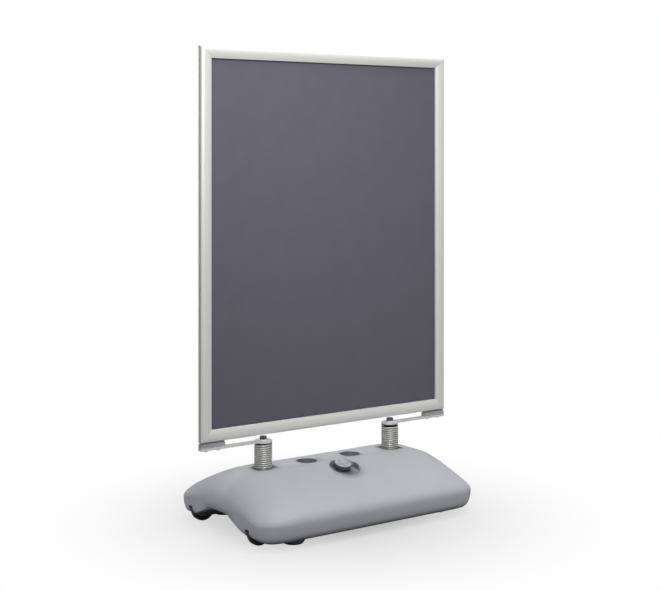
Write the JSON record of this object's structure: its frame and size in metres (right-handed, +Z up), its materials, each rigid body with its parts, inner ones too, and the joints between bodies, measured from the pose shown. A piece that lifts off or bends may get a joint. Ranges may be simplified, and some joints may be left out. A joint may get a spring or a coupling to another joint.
{
  "type": "sandwich board",
  "caption": "Free-standing double-sided poster sign: a snap frame with opening rails on two coil springs over a wheeled water-filled base.",
  "frame": {"origin": "centre of the footprint, on the floor", "axes": "+X along the poster frame away from the wheels, +Y to the back, +Z up; the front faces -Y"},
  "size_m": [0.5888, 0.3352, 0.9177],
  "materials": {
    "base_plastic": "fine moulded grain, satin",
    "cap_plastic": "satin moulded",
    "seal_rubber": "matte",
    "wheel_plastic": "matte moulded",
    "axle_steel": "drawn",
    "spring_steel": "zinc plated",
    "plug_plastic": "matte",
    "bolt_steel": "dark zinc",
    "washer_steel": "zinc plated",
    "arm_steel": "zinc plated",
    "block_plastic": "satin",
    "rail_aluminium": "satin anodised",
    "spine_aluminium": "mill, anodised",
    "key_steel": "zinc plated",
    "board_plastic": "matte",
    "cover_plastic": "anti-glare matte"
  },
  "bodies": {
    "base": {"base_tank": "base_plastic", "front_axle": "axle_steel", "rear_axle": "axle_steel", "spring_left": "spring_steel", "spring_right": "spring_steel", "lower_plug_left": "plug_plastic", "lower_plug_right": "plug_plastic", "base_bolts": "bolt_steel", "base_washers": "washer_steel"},
    "sign": {"arm_left": "arm_steel", "arm_right": "arm_steel", "arm_block_left": "block_plastic", "arm_block_right": "block_plastic", "arm_screws": "washer_steel", "upper_plug_left": "plug_plastic", "upper_plug_right": "plug_plastic", "top_bolts": "bolt_steel", "top_washers": "washer_steel", "spine_bottom": "spine_aluminium", "spine_top": "spine_aluminium", "spine_left": "spine_aluminium", "spine_right": "spine_aluminium", "corner_keys": "key_steel", "front_rail_springs": "key_steel", "rear_rail_springs": "key_steel", "backing_board": "board_plastic", "front_cover_sheet": "cover_plastic", "rear_cover_sheet": "cover_plastic"},
    "front_wheel": {"front_wheel": "wheel_plastic"},
    "rear_wheel": {"rear_wheel": "wheel_plastic"},
    "seal": {"cap_seal": "seal_rubber"},
    "cap": {"filler_cap": "cap_plastic"},
    "front_rail_bottom": {"front_rail_bottom": "rail_aluminium"},
    "front_rail_top": {"front_rail_top": "rail_aluminium"},
    "front_rail_left": {"front_rail_left": "rail_aluminium"},
    "front_rail_right": {"front_rail_right": "rail_aluminium"},
    "rear_rail_bottom": {"rear_rail_bottom": "rail_aluminium"},
    "rear_rail_top": {"rear_rail_top": "rail_aluminium"},
    "rear_rail_left": {"rear_rail_left": "rail_aluminium"},
    "rear_rail_right": {"rear_rail_right": "rail_aluminium"}
  },
  "joints": [
    {"name": "sway", "type": "hinge", "parent": "base", "child": "sign", "pos_m": [0, 0, 0.1359], "axis": [1, 0, 0], "range_deg": [-15, 15], "stiffness_Nm_per_rad": 180, "deforming": ["spring_left", "spring_right"]},
    {"name": "front_wheel_spin", "type": "hinge", "parent": "base", "child": "front_wheel", "pos_m": [-0.228, -0.103, 0.025], "axis": [0, 1, 0], "continuous": true},
    {"name": "rear_wheel_spin", "type": "hinge", "parent": "base", "child": "rear_wheel", "pos_m": [-0.228, 0.103, 0.025], "axis": [0, 1, 0], "continuous": true},
    {"name": "cap_lift", "type": "slide", "parent": "base", "child": "seal", "axis": [0, -0.2588, 0.9659], "range_m": [0, 0.06]},
    {"name": "cap_turn", "type": "hinge", "parent": "seal", "child": "cap", "pos_m": [0, -0.049, 0.1095], "axis": [0, -0.2588, 0.9659], "range_deg": [0, 360]},
    {"name": "front_rail_bottom_open", "type": "hinge", "parent": "sign", "child": "front_rail_bottom", "pos_m": [0, -0.0034, 0.1779], "axis": [1, 0, 0], "range_deg": [0, 85]},
    {"name": "front_rail_top_open", "type": "hinge", "parent": "sign", "child": "front_rail_top", "pos_m": [0, -0.0034, 0.9163], "axis": [-1, 0, 0], "range_deg": [0, 85]},
    {"name": "front_rail_left_open", "type": "hinge", "parent": "sign", "child": "front_rail_left", "pos_m": [-0.293, -0.0034, 0.5471], "axis": [0, 0, -1], "range_deg": [0, 85]},
    {"name": "front_rail_right_open", "type": "hinge", "parent": "sign", "child": "front_rail_right", "pos_m": [0.293, -0.0034, 0.5471], "axis": [0, 0, 1], "range_deg": [0, 85]},
    {"name": "rear_rail_bottom_open", "type": "hinge", "parent": "sign", "child": "rear_rail_bottom", "pos_m": [0, 0.0034, 0.1779], "axis": [-1, 0, 0], "range_deg": [0, 85]},
    {"name": "rear_rail_top_open", "type": "hinge", "parent": "sign", "child": "rear_rail_top", "pos_m": [0, 0.0034, 0.9163], "axis": [1, 0, 0], "range_deg": [0, 85]},
    {"name": "rear_rail_left_open", "type": "hinge", "parent": "sign", "child": "rear_rail_left", "pos_m": [-0.293, 0.0034, 0.5471], "axis": [0, 0, 1], "range_deg": [0, 85]},
    {"name": "rear_rail_right_open", "type": "hinge", "parent": "sign", "child": "rear_rail_right", "pos_m": [0.293, 0.0034, 0.5471], "axis": [0, 0, -1], "range_deg": [0, 85]}
  ],
  "couplings": [
    {"joint": "cap_turn", "follows": "cap_lift", "rad_per_m": 104.72}
  ]
}
